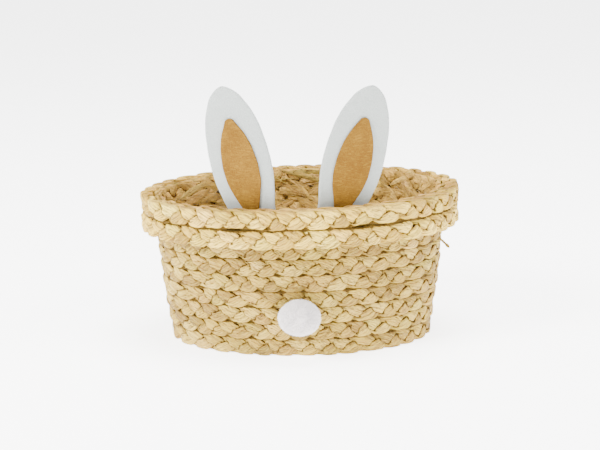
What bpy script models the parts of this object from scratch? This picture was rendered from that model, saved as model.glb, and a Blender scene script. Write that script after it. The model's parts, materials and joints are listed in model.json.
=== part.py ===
"""Oval basket of sewn plaits with two felt rabbit ears and a pom-pom tail.

Metres, +Z up. The origin is the middle of the base's underside. The front, which carries the
pom-pom, faces -Y. Left and right are as seen from the front, so left is -X.
"""

import math

import bmesh
import bpy
from mathutils import Matrix, Vector

# Driving dimensions
RIM_LENGTH = 0.290  # outside the rim, along X
RIM_DEPTH = 0.200  # outside the rim, along Y
RIM_TOP = 0.137
RIM_BRAID_THICK = 0.0120
RIM_BRAID_PITCH = 0.0165
RIM_BRAIDS = ("upper", "lower")
WALL_ROWS = 9
WALL_THICK = 0.0075
WALL_PITCH = 0.01505
WALL_LEAN = 0.104  # how far the wall leans out for each unit of height
ROW_UNEVEN = 0.018  # share by which the rows are fatter at the +X end, and leaner at the -X end
BASE_THICK = 0.006
BASE_TURNS = 3
CORE_HALF_LENGTH = 0.050  # of the thin ellipse that the base's first turn goes round
CORE_HALF_DEPTH = 0.005
CORE_LENGTH_TO_DEPTH = 3.0  # of the oval that the base's first turn makes
CORE_REACH = 0.98  # share of the thin ellipse's length that the core's own plait takes
CORE_FILL = 0.96  # share of the room inside the first turn that the core's plait takes
BASE_TAPER = 0.80  # of a turn, over which the coil thins out at each end
THREAD = 0.0010
GAP = 0.0003  # between solids that touch on the real basket
RIM_GAP = 0.0006  # between the rim braids and the wall
BASE_GAP = 0.0008  # between the base's turns and round them
WALL_CHAMFER = (0.20, 0.19)  # shares of a plait's thickness and height that its corners lose
RIM_CHAMFER = (0.28, 0.24)
BASE_CHAMFER = (0.12, 0.30)
WALL_THREAD_SINK = 0.85  # share of the thread's thickness that lies below the wall's inner side
RIM_THREAD_SINK = 0.60
HALF_SPACE = 0.30  # side of the boxes that cut the felt at its fold

EAR_FELT = 0.0030
INNER_FELT = 0.0015
EAR_FOLD_HEIGHT = RIM_TOP + 0.0020  # the felt bends just over the rim
FOLD_ROLL_RADIUS = 0.0014  # of the ear's round foot, which turns about the fold line
FOLD_ROLL_LENGTH = 0.0390
FOLD_ROLL_SIDES = 16
TAB_TOP = -0.0022  # below the fold line, clear of the ear's foot as it turns
INNER_FOOT = 0.0006  # above the fold line, clear of the tab when the ear bends forward
TAB_GAP = 0.0007  # between the tab's long edges and the wall
EARS = {
    "left": {"x": -0.0437, "splay": math.radians(11.6)},
    "right": {"x": 0.0384, "splay": math.radians(-14.0)},
}
# Half outlines in the felt's plane, from the tip down: half width, distance above the fold line
EAR_OUTLINE = (
    (0.0, 0.1060),
    (0.0108, 0.0985),
    (0.0202, 0.0835),
    (0.0256, 0.0610),
    (0.0270, 0.0370),
    (0.0236, 0.0080),
    (0.0203, -0.0120),
    (0.0180, -0.0300),
    (0.0120, -0.0370),
)
INNER_OUTLINE = (
    (0.0, 0.0775),
    (0.0060, 0.0715),
    (0.0126, 0.0550),
    (0.0158, 0.0320),
    (0.0138, 0.0160),
    (0.0080, 0.0010),
)
TAB_SPREAD = 0.0232  # half of the width that the tab takes up along the wall
STITCH_DROP = 0.0220  # from the fold line to the stitching on the tab
STITCH_HALF_WIDTH = 0.0140
STITCH_HALF_HEIGHT = 0.0012
STITCH_WAVES = 8

POMPOM_SIZE = (0.038, 0.029, 0.033)
POMPOM_ROW = 3
POMPOM_LEFT = 0.0016  # how far it sits to the left of the basket's middle
POMPOM_RISE = 0.0037  # how far its own middle is above its tie
POMPOM_SLACK = 0.0005  # more room behind it than between other parts
TIE_RADIUS = 0.0006
TIE_HOLE_RADIUS = 0.0011
KNOT_RADIUS = 0.0022
KNOT_BELLY = (0.7, 1.3)  # where the knot is widest, in its own radii from where it starts

# How finely the curves are cut up
RING_POINTS = 32
TURN_POINTS = 28
CORE_STEPS = 8  # on each side of the middle
BALL_SEGMENTS = 20
BALL_RINGS = 12
TIE_SIDES = 12
END_CROWDING = 0.30  # crowds a turn's points towards its ends

HUSK = (0.73, 0.56, 0.30)
HUSK_DARK = (0.62, 0.46, 0.22)
FELT_WHITE = (0.78, 0.80, 0.82)
FELT_TAN = (0.56, 0.34, 0.12)
POM_WHITE = (0.84, 0.82, 0.84)
COTTON = (0.70, 0.60, 0.42)


def clear_scene():
    for obj in list(bpy.data.objects):
        bpy.data.objects.remove(obj, do_unlink=True)


def new_collection(name):
    made = bpy.data.collections.new(name)
    bpy.context.scene.collection.children.link(made)
    return made


def matte(name, colour, roughness=0.85):
    made = bpy.data.materials.new(name)
    made.use_nodes = True
    shader = made.node_tree.nodes["Principled BSDF"]
    shader.inputs["Base Color"].default_value = (*colour, 1.0)
    shader.inputs["Roughness"].default_value = roughness
    shader.inputs["Metallic"].default_value = 0.0
    return made


def hide(helper):
    helper.hide_render = True
    helper.display_type = "WIRE"


def poly_curve(name, points, home, closed, scales=None, flat=False):
    """A curve object whose one spline runs straight from point to point."""
    data = bpy.data.curves.new(name, "CURVE")
    data.dimensions = "2D" if flat else "3D"
    spline = data.splines.new("POLY")
    spline.points.add(len(points) - 1)
    for index, point in enumerate(points):
        spline.points[index].co = (*point, 1.0)
        if scales:
            spline.points[index].radius = scales[index]
    spline.use_cyclic_u = closed
    made = bpy.data.objects.new(name, data)
    home.objects.link(made)
    return made


def section(name, width, height, chamfer, home):
    """The cross-section of a plait: an octagon. chamfer is the share of each side that a corner takes."""
    half_width = width / 2
    half_height = height / 2
    inner_x = half_width - width * chamfer[0]
    inner_y = half_height - height * chamfer[1]
    quarter = [(half_width, inner_y), (inner_x, half_height)]
    points = quarter + [(-x, y) for x, y in reversed(quarter)]
    points += [(-x, -y) for x, y in points]
    points.reverse()
    made = poly_curve(name, [(x, y, 0.0) for x, y in points], home, closed=True, flat=True)
    hide(made)
    return made


def plait(name, path, outline, material, home, closed=True):
    """A plait as a solid bar with the given cross-section along a path of (point, scale)."""
    points = [point for point, _ in path]
    scales = [scale for _, scale in path]
    made = poly_curve(name, points, home, closed, scales)
    made.data.twist_mode = "Z_UP"
    made.data.bevel_mode = "OBJECT"
    made.data.bevel_object = outline
    made.data.use_fill_caps = not closed
    made.data.materials.append(material)
    return made


def thread(name, points, material, home, closed=True):
    made = poly_curve(name, points, home, closed)
    made.data.twist_mode = "Z_UP"
    made.data.bevel_depth = THREAD / 2
    made.data.bevel_resolution = 0
    made.data.use_fill_caps = not closed
    made.data.materials.append(material)
    return made


def meshed(curve_object):
    """The same object with its curve made a mesh whose caps are welded on."""
    bpy.context.view_layer.update()
    graph = bpy.context.evaluated_depsgraph_get()
    mesh = bpy.data.meshes.new_from_object(curve_object.evaluated_get(graph))
    work = bmesh.new()
    work.from_mesh(mesh)
    bmesh.ops.remove_doubles(work, verts=work.verts, dist=1e-6)
    bmesh.ops.recalc_face_normals(work, faces=work.faces)
    work.to_mesh(mesh)
    work.free()
    name = curve_object.name
    home = curve_object.users_collection[0]
    made = bpy.data.objects.new(name + "_mesh", mesh)
    made.matrix_world = curve_object.matrix_world.copy()
    home.objects.link(made)
    bpy.data.objects.remove(curve_object, do_unlink=True)
    made.name = name
    return made


def cut(target, cutter):
    hide(cutter)
    boolean = target.modifiers.new("cut", "BOOLEAN")
    boolean.operation = "DIFFERENCE"
    boolean.solver = "EXACT"
    boolean.object = cutter


def join(target, other):
    boolean = target.modifiers.new("join", "BOOLEAN")
    boolean.operation = "UNION"
    boolean.solver = "EXACT"
    boolean.object = other


def row_scale(x):
    return 1 + ROW_UNEVEN * x / (RIM_LENGTH / 2)


def wall_halves(height):
    """Half length and half depth of the middle of the wall's thickness at a height."""
    inset = RIM_BRAID_THICK + RIM_GAP + WALL_THICK / 2
    top_row = (WALL_ROWS - 0.5) * WALL_PITCH
    inset += WALL_LEAN * (top_row - height)
    return RIM_LENGTH / 2 - inset, RIM_DEPTH / 2 - inset


def ring(half_length, half_depth, height):
    """(point, scale) round a level oval. Heights and plaits both grow with row_scale."""
    path = []
    for step in range(RING_POINTS):
        angle = math.tau * step / RING_POINTS
        x = half_length * math.cos(angle)
        y = half_depth * math.sin(angle)
        scale = row_scale(x)
        path.append((Vector((x, y, height * scale)), scale))
    return path


def ellipse_at_normal(half_length, half_depth, angle):
    """The ellipse's point whose outward normal has this angle."""
    x = half_length**2 * math.cos(angle)
    y = half_depth**2 * math.sin(angle)
    size = math.hypot(half_length * math.cos(angle), half_depth * math.sin(angle))
    return Vector((x / size, y / size))


class BaseCoil:
    """The base's turns, numbered from 0 at the core to BASE_TURNS against the wall."""

    def __init__(self):
        self.wall = wall_halves(WALL_PITCH / 2)
        inside = self.wall[1] - WALL_THICK / 2 - BASE_GAP
        self.pitch = inside / (BASE_TURNS + 1.5)
        self.width = self.pitch - BASE_GAP

    def first(self, angle):
        normal = Vector((math.cos(angle), math.sin(angle)))
        return ellipse_at_normal(CORE_HALF_LENGTH, CORE_HALF_DEPTH, angle) + normal * (
            self.pitch - CORE_HALF_DEPTH
        )

    def last(self, angle):
        normal = Vector((math.cos(angle), math.sin(angle)))
        inset = WALL_THICK / 2 + BASE_GAP + self.pitch / 2
        return ellipse_at_normal(*self.wall, angle) - normal * inset

    def point(self, angle, turn):
        return self.first(angle).lerp(self.last(angle), turn / BASE_TURNS)

    def spacing(self, angle):
        """Distance between neighbouring turns, as a share of the pitch."""
        normal = Vector((math.cos(angle), math.sin(angle)))
        across = (self.last(angle) - self.first(angle)).dot(normal)
        return across / BASE_TURNS / self.pitch

    def path(self):
        """(point, scale) from the tapered start beside the core to the tapered end at the wall."""
        turns = 2 * BASE_TAPER + BASE_TURNS
        count = round(turns * TURN_POINTS)
        path = []
        for step in range(count + 1):
            turn = -BASE_TAPER + turns * step / count
            share = 1.0
            place = turn
            if turn < 0:
                share = 1 + turn
                place = turn / 2
            elif turn > BASE_TURNS:
                share = 1 - (turn - BASE_TURNS)
                place = BASE_TURNS + (turn - BASE_TURNS) / 2
            even = math.tau * turn
            crowded = even - END_CROWDING * math.sin(2 * even)
            angle = normal_angle(crowded, self.length_to_depth(turn))
            scale = self.spacing(angle) * share
            flat = self.point(angle, place)
            path.append((Vector((*flat, BASE_THICK / 2 * scale)), scale))
        return path

    def length_to_depth(self, turn):
        """How much longer than deep the turn is."""
        mix = min(max(turn / BASE_TURNS, 0.0), 1.0)
        last = self.wall[0] / self.wall[1]
        return CORE_LENGTH_TO_DEPTH + (last - CORE_LENGTH_TO_DEPTH) * mix


def normal_angle(angle, length_to_depth):
    """The normal's angle at an ellipse's eccentric angle, counted on through whole turns."""
    whole = math.floor(angle / math.tau + 0.5) * math.tau
    rest = angle - whole
    return whole + math.atan2(length_to_depth * math.sin(rest), math.cos(rest))


def build_wall(parts, guides, material):
    outline = section("wall_section", WALL_THICK, WALL_PITCH - GAP, WALL_CHAMFER, guides)
    rows = []
    for number in range(1, WALL_ROWS + 1):
        middle = (number - 0.5) * WALL_PITCH
        path = ring(*wall_halves(middle), middle)
        rows.append(plait(f"wall_row_{number}", path, outline, material, parts))
    return rows


def build_rim(parts, guides, material):
    outline = section("rim_section", RIM_BRAID_THICK, RIM_BRAID_PITCH - GAP, RIM_CHAMFER, guides)
    for number, name in enumerate(RIM_BRAIDS):
        middle = RIM_TOP - (number + 0.5) * RIM_BRAID_PITCH
        half_length = (RIM_LENGTH - RIM_BRAID_THICK) / 2
        half_depth = (RIM_DEPTH - RIM_BRAID_THICK) / 2
        path = ring(half_length, half_depth, middle)
        plait(f"rim_braid_{name}", path, outline, material, parts)


def build_base(parts, guides, material):
    coil = BaseCoil()
    outline = section("base_section", coil.width, BASE_THICK, BASE_CHAMFER, guides)
    plait("base_coil", coil.path(), outline, material, parts, closed=False)
    core = []
    for step in range(-CORE_STEPS, CORE_STEPS + 1):
        x = CORE_HALF_LENGTH * CORE_REACH * step / CORE_STEPS
        bulge = CORE_HALF_DEPTH * math.sqrt(1 - (x / CORE_HALF_LENGTH) ** 2)
        half = coil.pitch / 2 - CORE_HALF_DEPTH + bulge
        scale = half / (coil.pitch / 2) * CORE_FILL
        core.append((Vector((x, 0.0, BASE_THICK / 2 * scale)), scale))
    plait("base_core", core, outline, material, parts, closed=False)


def build_threads(parts, material):
    """The sewing thread of each seam, in the groove on the seam's inner side."""
    for number in range(1, WALL_ROWS):
        seam = number * WALL_PITCH
        half_length, half_depth = wall_halves(seam - WALL_PITCH / 2)
        inward = WALL_THICK / 2 - THREAD * WALL_THREAD_SINK
        path = ring(half_length - inward, half_depth - inward, seam)
        thread(f"wall_thread_{number}", [point for point, _ in path], material, parts)
    middle = RIM_TOP - RIM_BRAID_PITCH
    inset = RIM_BRAID_THICK - THREAD * RIM_THREAD_SINK
    path = ring(RIM_LENGTH / 2 - inset, RIM_DEPTH / 2 - inset, middle)
    thread("rim_thread", [point for point, _ in path], material, parts)


def ear_frame(x):
    """Matrix of an ear: its X along the fold line, Y up the felt, Z out of the basket."""
    middle = (WALL_ROWS - 0.5) * WALL_PITCH
    half_length, half_depth = wall_halves(middle)
    angle = -math.acos(x / half_length)
    tangent = Vector((-half_length * math.sin(angle), half_depth * math.cos(angle), 0.0))
    tangent.normalize()
    outward = Vector((tangent.y, -tangent.x, 0.0))
    bow = half_length**2 / half_depth  # radius of the oval's long side
    sagitta = TAB_SPREAD**2 / (2 * bow)
    row_step = WALL_LEAN * WALL_PITCH / 2
    inset = WALL_THICK / 2 + TAB_GAP + sagitta + row_step + EAR_FELT / 2
    on_wall = Vector((x, half_depth * math.sin(angle), middle)) - outward * inset
    rise = EAR_FOLD_HEIGHT - middle
    origin = on_wall + outward * (WALL_LEAN * rise) + Vector((0.0, 0.0, rise))
    up = (Vector((0.0, 0.0, 1.0)) + outward * WALL_LEAN).normalized()
    normal = tangent.cross(up)
    columns = Matrix((tangent, up, normal)).transposed().to_4x4()
    return Matrix.Translation(origin) @ columns


def leaf(name, half_outline, thickness, material, home):
    """A flat piece of felt from a half outline that starts on its middle line."""
    data = bpy.data.curves.new(name, "CURVE")
    data.dimensions = "2D"
    data.fill_mode = "BOTH"
    data.resolution_u = 4
    data.extrude = thickness / 2
    mirrored = [(-x, y) for x, y in reversed(half_outline) if x > 0]
    points = [*half_outline, *mirrored]
    spline = data.splines.new("BEZIER")
    spline.bezier_points.add(len(points) - 1)
    for corner, (x, y) in zip(spline.bezier_points, points):
        corner.co = (x, y, 0.0)
        corner.handle_left_type = "AUTO"
        corner.handle_right_type = "AUTO"
    spline.use_cyclic_u = True
    data.materials.append(material)
    made = bpy.data.objects.new(name, data)
    home.objects.link(made)
    return meshed(made)


def half_space(name, frame, level, above, home):
    """A box that covers everything above or below a level in the ear's frame."""
    bpy.ops.mesh.primitive_cube_add(size=HALF_SPACE)
    made = bpy.context.object
    made.name = name
    move_to(made, home)
    side = 1 if above else -1
    made.matrix_world = frame @ Matrix.Translation((0.0, level + side * HALF_SPACE / 2, 0.0))
    hide(made)
    return made


def fold_roll(name, frame, home):
    """The rod along the fold line that makes the ear's foot round."""
    bpy.ops.mesh.primitive_cylinder_add(
        vertices=FOLD_ROLL_SIDES, radius=FOLD_ROLL_RADIUS, depth=FOLD_ROLL_LENGTH
    )
    made = bpy.context.object
    made.name = name
    move_to(made, home)
    made.matrix_world = frame @ Matrix.Rotation(math.pi / 2, 4, "Y")
    hide(made)
    return made


def build_ear(side, parts, guides, colours):
    frame = ear_frame(EARS[side]["x"])
    turned = frame @ Matrix.Rotation(EARS[side]["splay"], 4, "Z")
    below = half_space(f"{side}_below_fold", frame, 0.0, False, guides)
    above = half_space(f"{side}_above_tab", frame, TAB_TOP, True, guides)
    under_lining = half_space(f"{side}_under_lining", frame, INNER_FOOT, False, guides)
    pivot = bpy.data.objects.new(f"{side}_ear_pivot", None)
    pivot.matrix_world = frame
    parts.objects.link(pivot)

    blade = leaf(f"{side}_ear", EAR_OUTLINE, EAR_FELT, colours["felt_white"], parts)
    blade.matrix_world = turned
    cut(blade, below)
    join(blade, fold_roll(f"{side}_fold_roll", frame, guides))
    tab = leaf(f"{side}_ear_tab", EAR_OUTLINE, EAR_FELT, colours["felt_white"], parts)
    tab.matrix_world = turned
    cut(tab, above)
    lift = Matrix.Translation((0.0, 0.0, EAR_FELT / 2 + GAP + INNER_FELT / 2))
    lining = leaf(f"{side}_inner_ear", INNER_OUTLINE, INNER_FELT, colours["felt_tan"], parts)
    lining.matrix_world = turned @ lift
    cut(lining, under_lining)
    for moving in (blade, lining):
        placed = moving.matrix_world.copy()
        moving.parent = pivot
        moving.matrix_parent_inverse = frame.inverted()
        moving.matrix_world = placed
    build_stitches(side, frame, parts, colours["cotton"])


def build_stitches(side, frame, parts, material):
    """A zigzag of thread on the tab's inner face."""
    drift = math.tan(EARS[side]["splay"]) * STITCH_DROP
    points = []
    for step in range(STITCH_WAVES * 2 + 1):
        along = STITCH_HALF_WIDTH * (step / STITCH_WAVES - 1)
        up = STITCH_HALF_HEIGHT if step % 2 else -STITCH_HALF_HEIGHT
        off = -(EAR_FELT / 2 + GAP + THREAD / 2)
        points.append(frame @ Vector((along + drift, up - STITCH_DROP, off)))
    thread(f"{side}_ear_stitches", points, material, parts, closed=False)


def build_pompom(row, parts, guides, colours):
    height = (POMPOM_ROW - 0.5) * WALL_PITCH
    wall_middle = -wall_halves(height)[1]
    wall_outside = wall_middle - WALL_THICK / 2
    wall_inside = wall_middle + WALL_THICK / 2
    length, depth, tall = POMPOM_SIZE
    bpy.ops.mesh.primitive_uv_sphere_add(segments=BALL_SEGMENTS, ring_count=BALL_RINGS, radius=0.5)
    ball = bpy.context.object
    ball.name = "pompom"
    move_to(ball, parts)
    ball.data.transform(Matrix.Diagonal((length, depth, tall, 1.0)))
    off = GAP + POMPOM_SLACK + depth / 2
    ball.location = (-POMPOM_LEFT, wall_outside - off, height + POMPOM_RISE)
    ball.data.materials.append(colours["pom_white"])
    ball.data.shade_smooth()
    tie_through_wall(row, height, wall_outside, wall_inside, parts, guides, colours["cotton"])


def move_to(obj, home):
    for collection in list(obj.users_collection):
        collection.objects.unlink(obj)
    home.objects.link(obj)


def tie_through_wall(row, height, outside, inside, parts, guides, material):
    """The pom-pom's tie, in a hole through one row, turned about its own axis."""
    bpy.ops.mesh.primitive_cylinder_add(
        vertices=TIE_SIDES,
        radius=TIE_HOLE_RADIUS,
        depth=WALL_THICK * 2,
        location=(-POMPOM_LEFT, (outside + inside) / 2, height),
        rotation=(math.pi / 2, 0.0, 0.0),
    )
    hole = bpy.context.object
    hole.name = "tie_hole"
    move_to(hole, guides)
    cut(meshed(row), hole)

    length = inside - outside - GAP
    knot = length + GAP * 2
    profile = [
        (0.0, 0.0),
        (TIE_RADIUS, 0.0),
        (TIE_RADIUS, knot),
        (KNOT_RADIUS, knot + KNOT_RADIUS * KNOT_BELLY[0]),
        (KNOT_RADIUS, knot + KNOT_RADIUS * KNOT_BELLY[1]),
        (0.0, knot + KNOT_RADIUS * 2),
    ]
    mesh = bpy.data.meshes.new("pompom_tie")
    edges = [(index, index + 1) for index in range(len(profile) - 1)]
    mesh.from_pydata([(x, 0.0, -z) for x, z in profile], edges, [])
    mesh.materials.append(material)
    made = bpy.data.objects.new("pompom_tie", mesh)
    parts.objects.link(made)
    screw = made.modifiers.new("turn", "SCREW")
    screw.steps = TIE_SIDES
    screw.render_steps = TIE_SIDES
    screw.use_merge_vertices = True
    screw.merge_threshold = 0.00001
    made.rotation_euler = (math.pi / 2, 0.0, 0.0)
    made.location = (-POMPOM_LEFT, outside + GAP / 2, height)


def main():
    clear_scene()
    parts = new_collection("easter_basket")
    guides = new_collection("guides")
    colours = {
        "husk": matte("husk", HUSK, 0.75),
        "husk_base": matte("husk_base", HUSK_DARK, 0.8),
        "felt_white": matte("felt_white", FELT_WHITE, 0.95),
        "felt_tan": matte("felt_tan", FELT_TAN, 0.95),
        "pom_white": matte("pom_white", POM_WHITE, 1.0),
        "cotton": matte("cotton", COTTON, 0.9),
    }
    rows = build_wall(parts, guides, colours["husk"])
    build_rim(parts, guides, colours["husk"])
    build_base(parts, guides, colours["husk_base"])
    build_threads(parts, colours["cotton"])
    for side in EARS:
        build_ear(side, parts, guides, colours)
    build_pompom(rows[POMPOM_ROW - 1], parts, guides, colours)


main()
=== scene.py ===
"""Looks of the easter basket: plaited husk, felt ears and a pom-pom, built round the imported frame."""

import json
import math

import bpy
import numpy as np
from mathutils import Matrix, Vector


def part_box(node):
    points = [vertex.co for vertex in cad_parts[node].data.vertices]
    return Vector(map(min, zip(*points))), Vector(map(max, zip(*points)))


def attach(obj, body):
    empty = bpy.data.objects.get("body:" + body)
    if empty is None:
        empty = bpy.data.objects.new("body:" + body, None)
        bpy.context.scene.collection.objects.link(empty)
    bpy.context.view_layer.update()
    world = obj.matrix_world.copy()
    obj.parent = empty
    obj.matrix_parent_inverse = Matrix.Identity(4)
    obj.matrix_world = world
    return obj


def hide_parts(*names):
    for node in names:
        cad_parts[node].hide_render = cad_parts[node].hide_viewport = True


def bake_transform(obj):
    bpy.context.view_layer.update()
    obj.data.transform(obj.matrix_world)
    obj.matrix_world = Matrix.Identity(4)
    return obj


MM = 0.001

# The basket's plan, as the frame has it
RIM_BRAID_THICK = 12.0 * MM
RIM_GAP = 0.6 * MM
WALL_ROWS = 9
WALL_THICK = 7.5 * MM
WALL_PITCH = 15.05 * MM
WALL_LEAN = 0.104
RIM_PITCH = 16.5 * MM
RIM_TOP = 137.0 * MM
ROW_UNEVEN = 0.018
BASE_TURNS = 3
BASE_THICK = 6.0 * MM
BASE_GAP = 0.8 * MM
BASE_TAPER = 0.80  # of a turn, over which the coil thins out at each end
BASE_OVERLAP = 1.16  # the coil's plait beside the space between its turns
CORE_HALF = (50.0 * MM, 5.0 * MM)
CORE_LONGER = 3.0  # the coil's length beside its depth, at the core
CORE_REACH = 1.06  # of the core's half length
CORE_POINT = 1.08  # of the core's half length, where its plait would close
EAR_SPLAY = {"left": math.radians(11.6), "right": math.radians(-14.0)}
EAR_FELT = 3.0 * MM
INNER_FELT = 1.5 * MM
FELT_GAP = 0.3 * MM

SEED = 20
WOBBLE_WAVES = 7
WOBBLE_SPREAD = 2.6  # what that many waves commonly add up to

# A plait's path and strands
OVAL_SAMPLES = 1440
BASE_SAMPLES = 5200
CORE_SAMPLES = 200
LEAF_PERIOD = 57.0 * MM  # one strand's full wave along a wall or rim plait
STEPS_PER_PERIOD = 40
SECTION_POINTS = 22
WALL_TIGHT = 0.75 * MM  # how far a leaf may reach past its row's edge
RIM_TIGHT = 0.15 * MM
STRAND_FOLD = 0.02  # how sharply a strand turns back at the plait's edge
DIVE_REACH = 1.19
DIVE_EASE = 0.42  # the higher, the more gently a strand goes under the next
RAGGED = ((0.018, 2600, 1), (0.014, 4300, 0))  # share of the width, radians in a metre, strand's shift
SECTION_SQUARENESS = 0.48
EDGE_SQUEEZE = 24  # power that flattens a leaf against its row's edge
SEAM_DIP = 0.36  # share of its thickness that a row loses at a seam
VEINS = ((0.09, 0.13, 110), (0.07, 0.12, 170), (0.08, 0.10, 230))  # width, depth, radians in a metre
LEAF_SHADE = 0.8 * MM  # how wide the painted shade line beside an overlying leaf is
FILLER_STEP = 5.0 * MM
FILLER_SIDES = 6
FILLER_REACH = 0.93  # how far from the row's middle it runs, as a share of the row's reach
# tint, share of painted inner-side light, painted shade: the strip is drawn in shade
FILLER_SHADED_TONE = (0.2, 0.0, 0.68)

END_BULGE = 2.4 * MM  # how much fuller the wall's two ends are than the frame's straight lean
BULGE_TOP = 118.0 * MM
SEAM_WANDER = 0.55 * MM  # how far the seam between two rows strays from its level
# Where the two rim plaits part: (share round the rim, reach, half height)
RIM_OPENINGS = (
    (0.398, 0.012, 0.6 * MM),
    (0.423, 0.013, 1.5 * MM),
    (0.445, 0.020, 0.6 * MM),
    (0.572, 0.020, 1.3 * MM),
    (0.617, 0.030, 0.5 * MM),
)

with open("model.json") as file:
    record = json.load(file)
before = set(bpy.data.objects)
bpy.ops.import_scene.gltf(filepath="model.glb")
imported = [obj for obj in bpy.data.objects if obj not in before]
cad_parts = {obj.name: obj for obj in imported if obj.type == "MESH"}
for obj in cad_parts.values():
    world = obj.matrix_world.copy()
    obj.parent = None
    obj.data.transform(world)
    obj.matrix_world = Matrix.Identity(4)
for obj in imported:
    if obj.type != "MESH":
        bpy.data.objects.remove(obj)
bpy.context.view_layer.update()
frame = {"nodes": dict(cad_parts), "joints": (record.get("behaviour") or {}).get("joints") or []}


# ---- small tools


def smoothstep(low, high, value):
    t = np.clip((value - low) / (high - low), 0.0, 1.0)
    return t * t * (3 - 2 * t)


def unit(vectors):
    return vectors / np.linalg.norm(vectors, axis=-1, keepdims=True)


def triple(x, y, z):
    """Rows of (x, y, z), with each of the three spread to the others' shape."""
    return np.stack(np.broadcast_arrays(x, y, z), axis=-1)


def circle(count):
    """The angles of so many even steps round a circle."""
    return math.tau * np.arange(count) / count


def run_length(points):
    """The distance along the points, from the first to each."""
    steps = np.linalg.norm(np.diff(points, axis=0), axis=1)
    return np.concatenate([[0.0], np.cumsum(steps)])


def seeded(number):
    return np.random.default_rng(SEED + number)


def placed(name, data):
    made = bpy.data.objects.new(name, data)
    bpy.context.scene.collection.objects.link(made)
    return made


def mesh_piece(name, points, faces, material, attributes=None):
    """A smooth mesh object. Each attribute is (points x 3) and is stored on the points."""
    mesh = bpy.data.meshes.new(name)
    mesh.from_pydata(points.tolist(), [], [list(map(int, face)) for face in faces])
    for key, values in (attributes or {}).items():
        layer = mesh.attributes.new(key, "FLOAT_VECTOR", "POINT")
        layer.data.foreach_set("vector", np.asarray(values, np.float32).ravel())
    mesh.shade_smooth()
    mesh.materials.append(material)
    return placed(name, mesh)


class Parts:
    """Points, faces and attributes of several closed shapes that go into one mesh."""

    def __init__(self):
        self.points, self.faces, self.grain, self.tone = [], [], [], []
        self.count = 0

    def add(self, points, faces, grain, tone):
        """Grain and tone are (x, y, z) for each point, or one such row for all of them."""
        self.faces.extend(faces + self.count)
        for rows, values in ((self.points, points), (self.grain, grain), (self.tone, tone)):
            rows.append(np.broadcast_to(values, points.shape).reshape(-1, 3))
        self.count += points.size // 3
        return self

    def piece(self, name, material):
        attributes = {"grain": np.concatenate(self.grain), "tone": np.concatenate(self.tone)}
        return mesh_piece(name, np.concatenate(self.points), self.faces, material, attributes)


def tube_faces(rings, around, closed=False):
    """Quads of a tube whose points run ring by ring, with end caps unless it is closed."""
    ring, slot = np.meshgrid(np.arange(rings if closed else rings - 1), np.arange(around), indexing="ij")
    here = ring * around
    onward = (ring + 1) % rings * around
    after = (slot + 1) % around
    quads = np.stack([here + slot, onward + slot, onward + after, here + after], axis=-1).reshape(-1, 4)
    return quads if closed else np.vstack([quads, caps(rings, around)])


def caps(rings, around):
    """End faces of an open tube, as quads across each end ring."""
    step = np.arange(around // 2 - 1)
    near = np.stack([step, around - 1 - step, around - 2 - step, step + 1], axis=-1)
    return np.vstack([near, near[:, ::-1] + (rings - 1) * around])


def round_skin(middle, side, up, around):
    """Rings of points round a line. side and up are two radii of each ring."""
    turn = circle(around)[:, None]
    return middle[:, None, :] + np.cos(turn) * side[:, None, :] + np.sin(turn) * up[:, None, :]


def wobble(rng, share, size, waves):
    """Smooth noise over share 0 to 1 that joins up with itself. waves is (fewest, most)."""
    counts = rng.integers(waves[0], waves[1] + 1, WOBBLE_WAVES)
    phases = rng.uniform(0, math.tau, WOBBLE_WAVES)
    heights = rng.normal(0, 1, WOBBLE_WAVES)
    total = sum(
        height * np.sin(math.tau * count * share + phase)
        for count, phase, height in zip(counts, phases, heights)
    )
    return size * total / WOBBLE_SPREAD


def noise_of(rng, size, waves):
    seed = int(rng.integers(1 << 30))
    return lambda share: wobble(np.random.default_rng(seed), share, size, waves)


# ---- paths


class Path:
    """A line in space, with two directions across it: rise, over the plait's width, and face."""

    def __init__(self, points, rise, face, scale, closed):
        self.closed = closed
        self.arc = run_length(points)
        self.length = self.arc[-1]
        rise, face = (np.broadcast_to(way, points.shape) for way in (rise, face))
        self.table = np.hstack([points, rise, face, scale[:, None]])

    def at(self, distance):
        """(point, rise, face, scale) at each distance along."""
        place = np.mod(distance, self.length) if self.closed else distance
        flat = place.ravel()
        columns = np.stack([np.interp(flat, self.arc, column) for column in self.table.T], axis=-1)
        if not self.closed:
            beyond = np.clip(flat, None, 0.0) + np.clip(flat - self.length, 0.0, None)
            ahead = unit(self.table[-1, :3] - self.table[-2, :3])
            columns[:, :3] += beyond[:, None] * ahead
        rows = columns.reshape(*place.shape, -1)
        return rows[..., :3], unit(rows[..., 3:6]), unit(rows[..., 6:9]), rows[..., 9]


rim_low, rim_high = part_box("rim_braid_upper")
rim_half = ((rim_high.x - rim_low.x) / 2, (rim_high.y - rim_low.y) / 2)


def row_scale(x):
    return 1 + ROW_UNEVEN * x / rim_half[0]


def wall_halves(height):
    """The wall's half length and half depth at a height, to its rows' middle."""
    inset = RIM_BRAID_THICK + RIM_GAP + WALL_THICK / 2
    inset = inset + WALL_LEAN * ((WALL_ROWS - 0.5) * WALL_PITCH - height)
    bulge = END_BULGE * np.sin(math.pi * np.minimum(height / BULGE_TOP, 1.0))
    return rim_half[0] - inset + bulge, rim_half[1] - inset


def oval_points(halves, angle):
    """(x, y, the way out) at angles round an oval."""
    x, y = halves[0] * np.cos(angle), halves[1] * np.sin(angle)
    return x, y, unit(triple(halves[1] * np.cos(angle), halves[0] * np.sin(angle), 0.0))


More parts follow.
